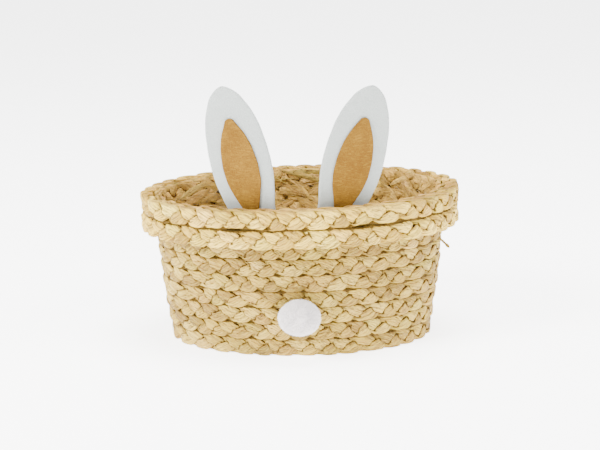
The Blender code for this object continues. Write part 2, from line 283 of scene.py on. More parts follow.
def oval_path(halves, height, lean):
    """A level oval from the middle of the back round by -X, so that it runs towards +X at the front."""
    x, y, outward = oval_points(halves, math.pi / 2 + np.linspace(0, math.tau, OVAL_SAMPLES + 1))
    scale = row_scale(x)
    upward = np.array([0.0, 0.0, 1.0])
    rise = unit(upward + lean * outward)
    face = unit(outward - lean * upward)
    return Path(triple(x, y, height * scale), rise, face, scale, closed=True)


def ellipse_at_normal(half_length, half_depth, angle):
    """The point of an ellipse where its normal has this angle."""
    size = np.hypot(half_length * np.cos(angle), half_depth * np.sin(angle))
    point = np.stack([half_length**2 * np.cos(angle), half_depth**2 * np.sin(angle)], axis=-1)
    return point / size[..., None]


def base_path():
    """The base's coil, as the frame winds it, from beside the core out to the wall."""
    wall = wall_halves(WALL_PITCH / 2)
    pitch = (wall[1] - WALL_THICK / 2 - BASE_GAP) / (BASE_TURNS + 1.5)
    turn = np.linspace(-BASE_TAPER, BASE_TURNS + BASE_TAPER, BASE_SAMPLES)
    before, after = np.maximum(-turn, 0), np.maximum(turn - BASE_TURNS, 0)
    place = (turn + (before - after) / 2) / BASE_TURNS
    longer = CORE_LONGER + (wall[0] / wall[1] - CORE_LONGER) * np.clip(turn / BASE_TURNS, 0, 1)
    angle = np.arctan2(longer * np.sin(math.tau * turn), np.cos(math.tau * turn))
    normal = np.stack([np.cos(angle), np.sin(angle)], axis=-1)
    first = ellipse_at_normal(*CORE_HALF, angle) + normal * (pitch - CORE_HALF[1])
    last = ellipse_at_normal(*wall, angle) - normal * (WALL_THICK / 2 + BASE_GAP + pitch / 2)
    spacing = ((last - first) * normal).sum(axis=-1) / BASE_TURNS / pitch
    flat = first + (last - first) * place[:, None]
    scale = spacing * (1 - before - after) ** 0.6
    points = triple(*flat.T, BASE_THICK / 2 * np.minimum(scale + 0.1, 1.0))
    return Path(points, triple(*normal.T, 0.0), (0.0, 0.0, 1.0), scale, closed=False), pitch


def core_path(pitch):
    x = np.linspace(-CORE_REACH, CORE_REACH, CORE_SAMPLES) * CORE_HALF[0]
    bulge = CORE_HALF[1] * np.sqrt(1 - (x / (CORE_POINT * CORE_HALF[0])) ** 2)
    scale = (pitch / 2 - CORE_HALF[1] + bulge) / (pitch / 2)
    points = triple(x, 0.0, BASE_THICK / 2 * scale)
    return Path(points, (0.0, 1.0, 0.0), (0.0, 0.0, 1.0), scale, closed=False)


# ---- plaits


class Weave:
    """A three-strand plait's measures, for a plait so high and so thick."""

    def __init__(self, height, thick, tight=WALL_TIGHT):
        self.limit = height / 2 + tight
        self.leaf_half = height * 0.362
        self.swing = height * 0.392
        self.leaf_thick = thick * 0.25
        self.contact_shade = thick * 0.10  # how close two strands are where painted shade darkens the line between them
        self.depth = thick / 2 - self.leaf_thick
        self.filler = (height * 0.10, thick * 0.26)


def slope(values, along, closed):
    if closed:
        step = along[1] - along[0]
        return (np.roll(values, -1) - np.roll(values, 1)) / (2 * step)
    return np.gradient(values, along)


def leaf_values(rng, angle, spread):
    """A value for each leaf, changing smoothly where the strand is at the plait's back."""
    turn = (angle - math.pi / 4) / math.pi
    first = math.floor(turn.min()) - 1
    values = rng.uniform(-1, 1, int(turn.max()) - first + 4)
    wrap = int(round((angle[-1] - angle[0]) / math.pi))
    index = np.floor(turn).astype(int) - first
    if len(values) > wrap:
        values[wrap:] = values[: len(values) - wrap]
    blend = smoothstep(0.80, 1.0, turn - np.floor(turn))
    return spread * (values[index] * (1 - blend) + values[index + 1] * blend)


class Strand:
    """One strand's middle line and its half width and thickness, along a path."""

    def __init__(self, weave, path, number, rng, edges, noise):
        self.number = number
        self.count = int(noise["periods"] * STEPS_PER_PERIOD)
        self.along = np.arange(self.count) * path.length / (self.count if path.closed else self.count - 1)
        rounds = path.length / noise["periods"]
        share = self.along / path.length
        self.angle = math.tau * self.along / rounds + math.tau * number / 3 + noise["start"]
        self.angle = self.angle + noise["hurry"](share)
        folded = np.sin(self.angle) + STRAND_FOLD * np.sin(3 * self.angle)
        low, high = (edge(share) for edge in edges)
        stretch = 1 + (high - low) / (2 * weave.limit)
        self.over = weave.swing * folded * stretch + (low + high) / 2 + noise["over"][number](share)
        dive = np.sin(2 * self.angle)
        dive = DIVE_REACH * dive / np.sqrt(dive**2 + DIVE_EASE)
        self.out = -weave.depth * dive + noise["out"][number](share)
        climb = slope(self.over, self.along, path.closed)
        stand = slope(self.out, self.along, path.closed)
        self.ahead = unit(triple(1.0, climb, stand))
        self.wide = unit(triple(-self.ahead[:, 1], self.ahead[:, 0], 0.0))
        self.up = np.cross(self.ahead, self.wide)
        passing = np.abs(np.sin(2 * self.angle))
        ragged = 1 + sum(size * np.sin(self.along * waves + shift * number) for size, waves, shift in RAGGED)
        wider = 1 + leaf_values(rng, self.angle, 0.10)
        thicker = 1 + leaf_values(rng, self.angle, 0.12)
        self.half = weave.leaf_half * (0.92 + 0.14 * passing) * wider * ragged
        self.thick = weave.leaf_thick * (0.84 + 0.24 * passing) * thicker
        self.lean = self.ahead[:, 0]

    def surface(self, along, over, length):
        """(outer, inner) height of the strand's two sides over the plait's plane at (along, over)."""

        def at(values):
            return np.interp(np.mod(along, length), self.along, values, period=length)

        # The footprint is widened by LEAF_SHADE, so that painted shade reaches just past the leaf's edge.
        half = at(self.half / self.lean) + LEAF_SHADE
        aside = np.abs(over - at(self.over))
        thick = at(self.thick) * np.clip(1 - (aside / half) ** 2, 0, 1) ** 0.4
        out = at(self.out)
        return np.where(aside < half, out + thick, -1.0), np.where(aside < half, out - thick, 1.0)


def wrinkles(strand, rng, cross, side):
    """Share of its thickness that each point of the strand loses to creases and veins."""
    folds = leaf_values(rng, strand.angle, 0.6)
    depths = 0.10 + 0.36 * np.clip(leaf_values(rng, strand.angle, 1.0), 0, 1) ** 2
    lost = depths[:, None] * np.exp(-(((cross - folds[:, None]) / 0.12) ** 2))
    for width, depth, waves in VEINS:
        place = leaf_values(rng, strand.angle, 0.85) + 0.10 * np.sin(strand.along * waves)
        lost = lost + depth * np.exp(-(((cross - place[:, None]) / width) ** 2))
    return lost + 0.035 * np.sin(13 * cross + 4 * folds[:, None] + 90 * strand.along[:, None]) * side


def buried_depth(local, side, others, length):
    """How far each point of a strand lies under the strands beside it, at most."""
    buried = np.full(local.shape[:-1], -1.0)
    for other in others:
        outer, inner = other.surface(local[..., 0], local[..., 1], length)
        cover = np.where(side > 0, outer - local[..., 2], local[..., 2] - inner)
        buried = np.maximum(buried, cover)
    return buried


def strand_shape(strand, others, weave, path, rng, edges):
    """(points, faces, grain, tone) of one strand of husk."""
    around = circle(SECTION_POINTS)
    cross = np.broadcast_to(np.cos(around)[None, :], (strand.count, SECTION_POINTS))
    side = np.sin(around)[None, :]
    height = np.sign(side) * np.abs(side) ** SECTION_SQUARENESS
    across = strand.half[:, None] * cross
    outward = strand.thick[:, None] * height * (1 - wrinkles(strand, rng, cross, side))
    local = triple(strand.along, strand.over, strand.out)[:, None, :]
    local = local + strand.wide[:, None, :] * across[..., None] + strand.up[:, None, :] * outward[..., None]
    bound, met = edge_bounds(local, weave, path, edges)
    local[..., 1] /= (1 + np.abs(local[..., 1] / bound) ** EDGE_SQUEEZE) ** (1 / EDGE_SQUEEZE)
    buried = buried_depth(local, side, others, path.length)
    reach = np.abs(local[..., 1]) / bound
    # Painted shade: dark where the strand lies under or close beside another strand, and along the seams
    # where two rows meet, with less of it at a free edge.
    contact_shade = smoothstep(-weave.contact_shade, 0.05 * MM, buried)
    contact_shade = contact_shade * (1 - 0.6 * smoothstep(0.70, 0.92, reach) * (1 - met))
    contact_shade = np.maximum(contact_shade, 0.92 * smoothstep(0.84, 0.92, reach) * met)
    local[..., 2] *= 1 - SEAM_DIP * smoothstep(0.60, 1.0, reach) * met
    point, rise, face, scale = path.at(local[..., 0])
    world = point + (rise * local[..., 1:2] + face * local[..., 2:3]) * scale[..., None]
    seed = leaf_values(rng, strand.angle, 0.5) + strand.number
    tint = leaf_values(rng, strand.angle, 0.5) + 0.5
    # Where the strand's side faces into the basket; the material paints light onto it there.
    inside = smoothstep(0.2, -0.6, local[..., 2] / (weave.depth + weave.leaf_thick))
    grain = triple(strand.along[:, None] / MM, cross, seed[:, None])
    faces = tube_faces(strand.count, SECTION_POINTS, path.closed)
    return world, faces, grain, triple(tint[:, None], inside, contact_shade)


def edge_bounds(local, weave, path, edges):
    """How far the plait reaches at each point, and 1 where a neighbour lies against that edge, else 0."""
    share = np.mod(local[..., 0], path.length) / path.length
    low, high = edges
    above = local[..., 1] > 0
    met = np.where(above, float(high is not free_edge), float(low is not free_edge))
    return np.where(above, weave.limit + high(share), weave.limit - low(share)), met


def free_edge(share):
    """A plait's edge that no neighbour meets."""
    return 0.0 * share


def plait(name, path, weave, material, seed, edges, loose=1.0):
    """A plait of three strands along a path. edges are its lower and upper seams."""
    rng = seeded(seed)
    periods = path.length / LEAF_PERIOD
    if path.closed:
        periods = max(3, round(periods))
    whole = max(4, int(periods))
    noise = {
        "periods": periods,
        "start": rng.uniform(0, math.tau),
        "hurry": noise_of(rng, 0.28, (2, whole)),
        "over": [noise_of(rng, 0.35 * MM * loose, (3, whole * 2)) for _ in range(3)],
        "out": [noise_of(rng, 0.28 * MM * loose, (3, whole * 2)) for _ in range(3)],
    }
    strands = [Strand(weave, path, number, rng, edges, noise) for number in range(3)]
    parts = Parts()
    for strand in strands:
        others = [other for other in strands if other is not strand]
        parts.add(*strand_shape(strand, others, weave, path, rng, edges))
    for sign, edge in zip((-1, 1), edges):
        if edge is not free_edge:
            parts.add(*seam_filler(path, weave, sign, edge))
    return parts.piece(name, material)


def seam_filler(path, weave, sign, edge):
    """A strip of husk at the seam's middle, painted dark as shade, so that no light comes through between
    two plaits.
    """
    rings = max(8, int(path.length / FILLER_STEP))
    along = np.linspace(0, path.length, rings, endpoint=not path.closed)
    point, rise, face, scale = path.at(along)
    level = sign * weave.limit * FILLER_REACH + edge(along / path.length)
    rise, face = rise * scale[:, None], face * scale[:, None]
    middle = point + rise * level[:, None]
    world = round_skin(middle, rise * weave.filler[0], face * weave.filler[1], FILLER_SIDES)
    grain = triple(along[:, None] / MM, circle(FILLER_SIDES), 0.0)
    return world, tube_faces(rings, FILLER_SIDES, path.closed), grain, FILLER_SHADED_TONE


def seam_line(seed, opening=0.0):
    """Height of a seam over its level, for a share round the basket. opening is -1, 0 or 1."""
    wander = noise_of(seeded(seed), SEAM_WANDER, (11, 40))

    def line(share):
        gaps = (tall * np.exp(-(((share - place) / reach) ** 2)) for place, reach, tall in RIM_OPENINGS)
        return wander(share) + opening * sum(gaps)

    return line


def build_plaits(husk, lit_rim_husk):
    """Every plait of the basket, each in place of its own node."""
    wall = Weave(WALL_PITCH, WALL_THICK)
    seams = [free_edge] + [seam_line(500 + number) for number in range(1, WALL_ROWS)] + [free_edge]
    for number in range(1, WALL_ROWS + 1):
        middle = (number - 0.5) * WALL_PITCH
        path = oval_path(wall_halves(middle), middle, WALL_LEAN)
        made = plait(f"husk_row_{number}", path, wall, husk, number, (seams[number - 1], seams[number]))
        finish_piece(made, "husk", f"wall_row_{number}")
    rim = Weave(RIM_PITCH, RIM_BRAID_THICK, RIM_TIGHT)
    halves = tuple(half - RIM_BRAID_THICK / 2 for half in rim_half)
    edges = {"upper": (seam_line(520, 1.0), free_edge), "lower": (free_edge, seam_line(520, -1.0))}
    for number, name in enumerate(("upper", "lower")):
        middle = RIM_TOP - (number + 0.5) * RIM_PITCH
        path = oval_path(halves, middle, 0.0)
        made = plait(f"husk_rim_{name}", path, rim, lit_rim_husk, 20 + number, edges[name], loose=1.3)
        finish_piece(made, "husk", f"rim_braid_{name}")
    coil, pitch = base_path()
    base = Weave(pitch * BASE_OVERLAP, BASE_THICK)
    level = (np.zeros_like, np.zeros_like)
    made = plait("husk_base_coil", coil, base, husk, 40, level, loose=0.6)
    finish_piece(made, "husk_base", "base_coil")
    made = plait("husk_base_core", core_path(pitch), base, husk, 41, level, loose=0.5)
    finish_piece(made, "husk_base", "base_core")


def finish_piece(piece, slot, *nodes):
    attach(piece, "root")
    if nodes:
        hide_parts(*nodes)
    return piece


# ---- materials

# Husk colours, scene linear
HUSK_LEAVES = (
    (0.25, 0.150, 0.012),
    (0.37, 0.229, 0.021),
    (0.46, 0.293, 0.033),
    (0.50, 0.330, 0.038),
    (0.61, 0.420, 0.078),
)
HUSK_CASTS = (
    (0.62, (1.0, 1.0, 1.0)),
    (0.70, (0.93, 1.0, 0.92)),
    (0.80, (0.95, 1.0, 0.94)),
    (0.88, (1.03, 0.99, 1.30)),
)
HUSK_TONES = (0.0, 0.26, 0.48, 0.70, 1.0)  # where each leaf colour stands among the tones
RIM_PAINTED_LIGHT = 1.53  # painted light: the rim's leaves, lit from above, are drawn this much paler than the wall's
# Painted light: the strands' inner sides, which face into the basket, are multiplied by these, brighter and
# bluer against the shade there; the share below says how much of it is used
RIM_INSIDE_LIGHT = (1.05, 0.95, 1.0, 1.0)
HUSK_INSIDE_LIGHT = (1.36, 1.20, 1.40, 1.0)
INSIDE_LIGHT_SHARE = 0.9
HUSK_VEIN = (0.27, 0.130, 0.017, 1.0)
HUSK_FIBRE = (0.80, 0.60, 0.18, 1.0)
HUSK_FOLD = (0.20, 0.095, 0.014, 1.0)
# Painted shade where strands lie under or beside each other, and at the seams between rows
HUSK_CONTACT_SHADE = (0.050, 0.025, 0.005, 1.0)
# Streaks: how many in a millimetre along a leaf, how many across half of it, and their detail
BROAD_STREAKS = (0.09, 1.6, 3.0)
VEIN_STREAKS = (0.10, 4.2, 4.0)
FIBRE_STREAKS = (0.26, 15.0, 3.0)
FOLD_STREAKS = (0.055, 2.6, 1.5)
SEED_APART = 37.0  # keeps each leaf's streaks apart from its neighbours'
# Felt: base, pale and dark
FELT_WHITE = (
    (0.325, 0.350, 0.331, 1.0),
    (0.40, 0.425, 0.403, 1.0),
    (0.25, 0.274, 0.262, 1.0),
)
FELT_TAN = (
    (0.122, 0.051, 0.0029, 1.0),
    (0.26, 0.141, 0.0135, 1.0),
    (0.085, 0.032, 0.0014, 1.0),
)
FELT_STROKES = (0.45, 0.45, 2.2)  # scales of x, y and z, by which the longer fibres lie level
# Yarn and thread: two tones of each, and the yarn's shade between its fibres
YARN = ((0.86, 0.81, 0.80, 1.0), (0.92, 0.86, 0.84, 1.0))
YARN_SHADE = (0.84, 0.82, 0.85, 1.0)
COTTON = ((0.34, 0.22, 0.085, 1.0), (0.52, 0.37, 0.17, 1.0))
COTTON_TWIST = 3.2  # turns in a millimetre
PAPER = ((0.90, 0.90, 0.90, 1.0), (0.93, 0.93, 0.93, 1.0))
WHITE = (1.0, 1.0, 1.0, 1.0)
FLOOR_GLOW = 4.0


class Nodes:
    """Shorthand for a material's node tree."""

    def __init__(self, name):
        self.material = bpy.data.materials.new(name)
        self.material.use_nodes = True
        self.tree = self.material.node_tree

    def add(self, kind, **settings):
        node = self.tree.nodes.new(kind)
        for key, value in settings.items():
            setattr(node, key, value)
        return node

    def feed(self, socket, value):
        """Link another node's output to the socket, or set the socket's own value."""
        if hasattr(value, "links"):
            self.tree.links.new(value, socket)
        else:
            socket.default_value = value

    def made(self, kind, values, **settings):
        """The first output of a new node whose first inputs are fed the values."""
        node = self.add(kind, **settings)
        for socket, value in zip(node.inputs, values):
            self.feed(socket, value)
        return node.outputs[0]

    def surface(self, **inputs):
        """Feed the shader's inputs, each named with _ for a space, and give the material."""
        shader = self.tree.nodes["Principled BSDF"]
        for name, value in inputs.items():
            self.feed(shader.inputs[name.replace("_", " ")], value)
        return self.material

    def math(self, operation, first, second=0.0):
        return self.made("ShaderNodeMath", (first, second), operation=operation)

    def times(self, first, second):
        return self.math("MULTIPLY", first, second)

    def mix(self, share, first, second, blend="MIX"):
        node = self.add("ShaderNodeMix", data_type="RGBA", blend_type=blend)
        self.feed(node.inputs[0], share)
        self.feed(node.inputs[6], first)
        self.feed(node.inputs[7], second)
        return node.outputs[2]

    def noise(self, vector, scale, detail=3.0, roughness=0.55):
        node = self.add("ShaderNodeTexNoise")
        values = {"Vector": vector, "Scale": scale, "Detail": detail, "Roughness": roughness}
        for name, value in values.items():
            self.feed(node.inputs[name], value)
        return node.outputs["Fac"]

    def ramp(self, value, stops):
        node = self.add("ShaderNodeValToRGB")
        elements = node.color_ramp.elements
        while len(elements) < len(stops):
            elements.new(0.5)
        for element, (place, colour) in zip(elements, stops):
            element.position = place
            element.color = (*colour, 1.0)
        self.feed(node.inputs[0], value)
        return node.outputs[0]

    def range(self, value, low, high, to_low=0.0, to_high=1.0):
        return self.made("ShaderNodeMapRange", (value, low, high, to_low, to_high))

    def attribute(self, name):
        node = self.add("ShaderNodeAttribute", attribute_name=name)
        split = self.add("ShaderNodeSeparateXYZ")
        self.feed(split.inputs[0], node.outputs["Vector"])
        return split.outputs

    def bump(self, height, distance, strength=1.0, under=None):
        node = self.add("ShaderNodeBump")
        self.feed(node.inputs["Height"], height)
        self.feed(node.inputs["Distance"], distance)
        self.feed(node.inputs["Strength"], strength)
        if under is not None:
            self.feed(node.inputs["Normal"], under)
        return node.outputs[0]

    def position(self):
        return self.add("ShaderNodeTexCoord").outputs["Object"]


def husk_material(name, leaf_colours, inside_light):
    """Dry husk: pale leaves of several tones, with lengthwise veins and darker edges, painted shade where
    strands lie against each other, and painted light on their inner sides.
    """
    nodes = Nodes(name)
    along, across, seed = nodes.attribute("grain")
    tint, inside, contact_shade = nodes.attribute("tone")
    apart = nodes.times(seed, SEED_APART)

    def streaks(lengthwise, crosswise, detail):
        place = (nodes.times(along, lengthwise), nodes.times(across, crosswise), apart)
        return nodes.noise(nodes.made("ShaderNodeCombineXYZ", place), 1.0, detail, 0.6)

    veins = streaks(*VEIN_STREAKS)
    fibres = streaks(*FIBRE_STREAKS)
    folds = nodes.math("ABSOLUTE", nodes.math("SUBTRACT", streaks(*FOLD_STREAKS), 0.5))
    folds = nodes.range(folds, 0.0, 0.028, 1.0, 0.0)
    clouds = nodes.times(nodes.math("SUBTRACT", streaks(*BROAD_STREAKS), 0.5), 0.85)
    colour = nodes.ramp(nodes.math("ADD", tint, clouds), list(zip(HUSK_TONES, leaf_colours)))
    casts = nodes.ramp(nodes.math("FRACT", nodes.times(seed, 5.7)), HUSK_CASTS)
    colour = nodes.mix(1.0, colour, casts, "MULTIPLY")
    for share, stain in (
        (nodes.range(veins, 0.50, 0.66, 0.0, 0.70), HUSK_VEIN),
        (nodes.range(fibres, 0.50, 0.70, 0.0, 0.45), HUSK_FIBRE),
        (nodes.times(folds, 0.72), HUSK_FOLD),
        (nodes.range(nodes.math("ABSOLUTE", across), 0.80, 1.0, 0.0, 0.50), HUSK_FOLD),
        # painted shade where strands lie against each other and at the seams
        (nodes.range(contact_shade, 0.35, 0.90, 0.0, 0.92), HUSK_CONTACT_SHADE),
    ):
        colour = nodes.mix(share, colour, stain)
    # Painted light: the inner sides are lifted brighter and bluer, against the shade inside the basket.
    inner = nodes.mix(1.0, colour, inside_light, "MULTIPLY")
    grooves = nodes.math("SUBTRACT", veins, nodes.times(folds, 0.35))
    return nodes.surface(
        Base_Color=nodes.mix(nodes.times(inside, INSIDE_LIGHT_SHARE), colour, inner),
        Roughness=nodes.range(veins, 0.2, 0.8, 0.50, 0.78),
        # Less gloss in the painted shade.
        Specular_IOR_Level=nodes.range(contact_shade, 0.3, 0.8, 0.30, 0.03),
        Sheen_Weight=0.02,
        Normal=nodes.bump(fibres, 0.7 * MM, 0.9, nodes.bump(grooves, 2.6 * MM)),
    )


def felt_material(name, colours, sheen, strokes_share):
    """Pressed felt: short tangled fibres, faint clouds, no gloss."""
    base, pale, dark = colours
    nodes = Nodes(name)
    place = nodes.position()
    clouds = nodes.noise(place, 60.0, 2.0)
    fibres = nodes.noise(place, 900.0, 4.0, 0.7)
    specks = nodes.noise(place, 2600.0, 2.0, 0.6)
    stretched = nodes.made("ShaderNodeVectorMath", (place, FELT_STROKES), operation="MULTIPLY")
    strokes = nodes.noise(stretched, 520.0, 2.0, 0.5)
    colour = nodes.mix(nodes.range(clouds, 0.3, 0.7, 0.15, 0.45), base, pale)
    colour = nodes.mix(nodes.range(fibres, 0.45, 0.62, 0.0, 0.55), colour, dark)
    colour = nodes.mix(nodes.range(strokes, 0.55, 0.62, 0.0, strokes_share), colour, pale)
    return nodes.surface(
        Base_Color=nodes.mix(nodes.range(specks, 0.55, 0.75, 0.0, 0.45), colour, pale),
        Roughness=0.96,
        Specular_IOR_Level=0.12,
        Sheen_Weight=sheen,
        Sheen_Roughness=0.6,
        Normal=nodes.bump(specks, 0.2 * MM, 0.6, nodes.bump(fibres, 0.6 * MM, 0.8)),
    )


def yarn_material():
    """White yarn, soft enough to let a little light through."""
    nodes = Nodes("pompom_yarn")
    place = nodes.position()
    strands = nodes.noise(place, 700.0, 4.0, 0.7)
    colour = nodes.mix(nodes.range(nodes.noise(place, 120.0, 2.0), 0.3, 0.7), *YARN)
    return nodes.surface(
        Base_Color=nodes.mix(nodes.range(strands, 0.45, 0.75, 0.0, 0.15), colour, YARN_SHADE),
        Roughness=0.95,
        Specular_IOR_Level=0.15,
        Sheen_Weight=0.5,
        Subsurface_Weight=0.25,
        Subsurface_Radius=(4 * MM, 4 * MM, 4 * MM),
        Normal=nodes.bump(strands, 0.6 * MM, 0.6),
    )


def cotton_material():
    """Undyed thread with the slant of its twist."""
    nodes = Nodes("cotton_thread")
    along, around, _ = nodes.attribute("grain")
    slant = nodes.math("ADD", nodes.times(along, COTTON_TWIST), around)
    shade = nodes.range(nodes.math("SINE", nodes.times(slant, math.tau)), -1.0, 1.0)
    return nodes.surface(
        Base_Color=nodes.mix(shade, *COTTON),
        Roughness=0.85,
        Specular_IOR_Level=0.2,
        Normal=nodes.bump(shade, 0.15 * MM, 0.8),
    )


def paper_material():
    """The studio's pale floor, which glows so that it stays white."""
    nodes = Nodes("floor_paper")
    grit = nodes.noise(nodes.position(), 60.0, 2.0)
    return nodes.surface(
        Base_Color=nodes.mix(nodes.range(grit, 0.3, 0.7), *PAPER),
        Roughness=0.9,
        Emission_Color=WHITE,
        Emission_Strength=FLOOR_GLOW,
    )


# ---- threads


SEAM_STITCH = 13.0 * MM
SEAM_REACH = 2.1 * MM
SEAM_THREAD = 0.25 * MM  # radius, as the next two are
RIM_THREAD = 0.45 * MM
TAB_THREAD = 0.4 * MM
RIM_THREAD_POINTS = 240
# One stitch over a seam: share of its length along, share of its reach up, depth
STITCH = (
    (-0.36, -0.8, -0.2 * MM),
    (-0.30, -1.0, 0.55 * MM),
    (0.0, 0.0, 0.75 * MM),
    (0.30, 1.0, 0.55 * MM),
    (0.36, 0.8, -0.2 * MM),
)


def tube(points, radius, around=6, closed=False):
    """(points, faces, grain, tone) of a round thread through the points."""
    if closed:
        ahead = unit(np.roll(points, -1, axis=0) - np.roll(points, 1, axis=0))
    else:
        ahead = unit(np.gradient(points, axis=0))
    side = np.cross(ahead, [0.0, 0.0, 1.0])
    weak = np.linalg.norm(side, axis=1) < 0.2
    side[weak] = np.cross(ahead[weak], [1.0, 0.0, 0.0])
    side = unit(side)
    world = round_skin(points, side * radius, np.cross(side, ahead) * radius, around)
    grain = triple(run_length(points)[:, None] / MM, np.arange(around) / around, 0.0)
    return world, tube_faces(len(points), around, closed)[:, ::-1], grain, (0.0, 0.0, 0.0)


def seam_thread(height, seed):
    """A zigzag of thread over the seam at a height, on the plaits' inner side."""
    rng = seeded(seed)
    path = oval_path(wall_halves(height), height, WALL_LEAN)
    count = round(path.length / SEAM_STITCH)
    spots = []
    for number in range(count):
        middle = (number + rng.uniform(-0.12, 0.12)) * path.length / count
        reach = SEAM_REACH * rng.uniform(0.8, 1.15)
        spots.extend((middle + share * SEAM_STITCH, up * reach, depth) for share, up, depth in STITCH)
    along, up, depth = np.array(spots).T[:, :, None]
    point, rise, face, scale = path.at(along[:, 0])
    inward = WALL_THICK / 2 - 0.5 * MM
    return tube(point + rise * up - face * (inward + depth), SEAM_THREAD, closed=True)


def build_threads(cotton):
    for number in range(1, WALL_ROWS):
        sewing = Parts().add(*seam_thread(number * WALL_PITCH, 60 + number))
        finish_piece(sewing.piece(f"seam_stitches_{number}", cotton), "cotton", f"wall_thread_{number}")
    inset = RIM_BRAID_THICK - 0.6 * MM
    path = oval_path(tuple(half - inset for half in rim_half), RIM_TOP - RIM_PITCH, 0.0)
    along = np.arange(RIM_THREAD_POINTS) * path.length / RIM_THREAD_POINTS
    thread = Parts().add(*tube(path.at(along)[0], RIM_THREAD, closed=True))
    finish_piece(thread.piece("rim_seam_thread", cotton), "cotton", "rim_thread")


# ---- loose husk


# A sliver's section, as shares of its half width and half thickness
SLIVER_CROSS = np.array([1.0, 0.9, 0.0, -0.9, -1.0, -0.9, 0.0, 0.9])
SLIVER_LEVEL = np.array([0.0, 0.8, 1.0, 0.8, 0.0, -0.8, -1.0, -0.8])
SLIVER_THICK = 0.3 * MM
STRIP_THICK = 0.5 * MM
INSIDE_SLIVERS = 640
OUTSIDE_FIBRES = 26
# Loose ends inside the basket, in millimetres
WIDE_END = {"length": (12, 30), "curl": 0.5, "width": (4.0, 9.0)}
FINE_END = {"length": (7, 26), "curl": 1.8, "width": (0.5, 1.8)}
# Strips on the back wall between the ears, in millimetres: two (x, height) ends, width, bow and
# depth. Then tone, share of the painted light of the inner side, and grain.
WALL_STRIPS = (
    ((-16, 135.2), (30, 121.5), 5.2, 1.5, 1.6, 0.42, 0.0, 2.2),
    ((-12, 134.6), (42, 131.5), 4.6, 0.6, 1.0, 0.30, 0.0, 3.1),
    ((-31, 121), (-17, 134), 1.0, 0.8, 2.0, 0.35, 0.1, 0.90),
    ((-29, 132), (-13, 123), 0.9, 0.8, 2.0, 0.35, 0.1, 0.81),
    ((-26, 126), (-3, 128), 1.3, 0.8, 2.0, 0.35, 0.1, 1.17),
    ((-22, 119), (-14, 133), 0.8, 0.8, 2.0, 0.35, 0.1, 0.72),
)
STRAY_ROOT = (0.975, 91.5 * MM)  # share along the oval, height
STRAY_FALL = (10.0 * MM, -1.5 * MM, -8.4 * MM)
STRAY_SAG = 1.5 * MM


def sliver(points, width, thick, face, seed, tint, inside=0.0):
    """(points, faces, grain, tone) of a thin strip of husk, pointed at both ends."""
    ahead = unit(np.gradient(points, axis=0))
    side = unit(np.cross(unit(np.asarray(face)), ahead))
    up = np.cross(ahead, side)
    share = np.linspace(0, 1, len(points))
    half = width / 2 * np.sin(math.pi * np.clip(share, 0.04, 0.97)) ** 0.45
    across = side[:, None, :] * (half[:, None] * SLIVER_CROSS)[..., None]
    world = points[:, None, :] + across + up[:, None, :] * (thick / 2 * SLIVER_LEVEL)[:, None]
    grain = triple(run_length(points)[:, None] / MM, SLIVER_CROSS * width / (8 * MM), seed)
    # inside is the share of the painted light of the husk's inner sides.
    return world, tube_faces(len(points), len(SLIVER_CROSS)), grain, (tint, inside, 0.0)


def on_wall(x_share, height, out, back):
    """Points just off the wall's inner or outer side, and the way out of the wall at the last."""
    angle = np.arccos(np.clip(x_share, -1.0, 1.0)) * np.where(back, 1, -1)
    x, y, outward = oval_points(wall_halves(height), angle)
    return triple(x, y, height * row_scale(x)) + outward * np.asarray(out)[..., None], outward[-1]


def inside_end(rng, size):
    """One end of husk that lies on the wall's inner side. Its far end may curl away."""
    back = rng.random() < 0.6
    x_share = rng.uniform(-0.98, 0.98)
    height = rng.uniform(10 * MM, RIM_TOP - 6 * MM)
    length = rng.uniform(*size["length"]) * MM
    lean = rng.normal(0.0, 0.50)
    curl = rng.uniform(0.0, size["curl"]) * MM
    start = rng.uniform(-0.1, 0.7) * MM
    share = np.linspace(0, 1, 9)
    run = (share - 0.5) * length
    level = height + run * math.sin(lean) + 0.6 * MM * np.sin(4 * share + lean)
    level = np.minimum(level, RIM_TOP - 2.5 * MM)
    along = x_share + run * math.cos(lean) / wall_halves(height)[0]
    points, outward = on_wall(along, level, -(WALL_THICK / 2 + start + curl * share**3), back)
    width = rng.uniform(*size["width"]) * MM
    tint = rng.uniform(0.0, 1.0)
    return sliver(points, width, SLIVER_THICK, -outward, rng.uniform(0, 9), tint, 0.8)


def wall_strip(start, end, width, bow, depth, tint, inside, seed):
    """A flat strip on the back wall's inner side. Its measures are in millimetres."""
    share = np.linspace(0, 1, 14)
    x, height = (low + (high - low) * share for low, high in zip(start, end))
    height = (height + bow * np.sin(math.pi * share)) * MM
    off = np.full(len(share), -(WALL_THICK / 2 + depth * MM))
    points, outward = on_wall(x * MM / wall_halves(height)[0], height, off, True)
    return sliver(points, width * MM, STRIP_THICK, -outward, seed, tint, inside)


def outside_fibre(rng):
    """A fine fibre that has come away from the outside of a row."""
    angle = rng.uniform(0, math.tau)
    height = rng.uniform(8 * MM, 98 * MM)
    length = rng.uniform(5, 13) * MM
    lean = rng.normal(0, 0.5)
    share = np.linspace(0, 1, 7)
    along = angle + share * length / (100 * MM) * math.cos(lean)
    off = WALL_THICK / 2 - 0.2 * MM + 1.8 * MM * share**2
    level = height + share * length * math.sin(lean)
    points, outward = on_wall(np.cos(along), level, off, np.sin(along) > 0)
    return sliver(points, 0.5 * MM, 0.25 * MM, outward, rng.uniform(0, 9), rng.uniform(0.2, 0.8))


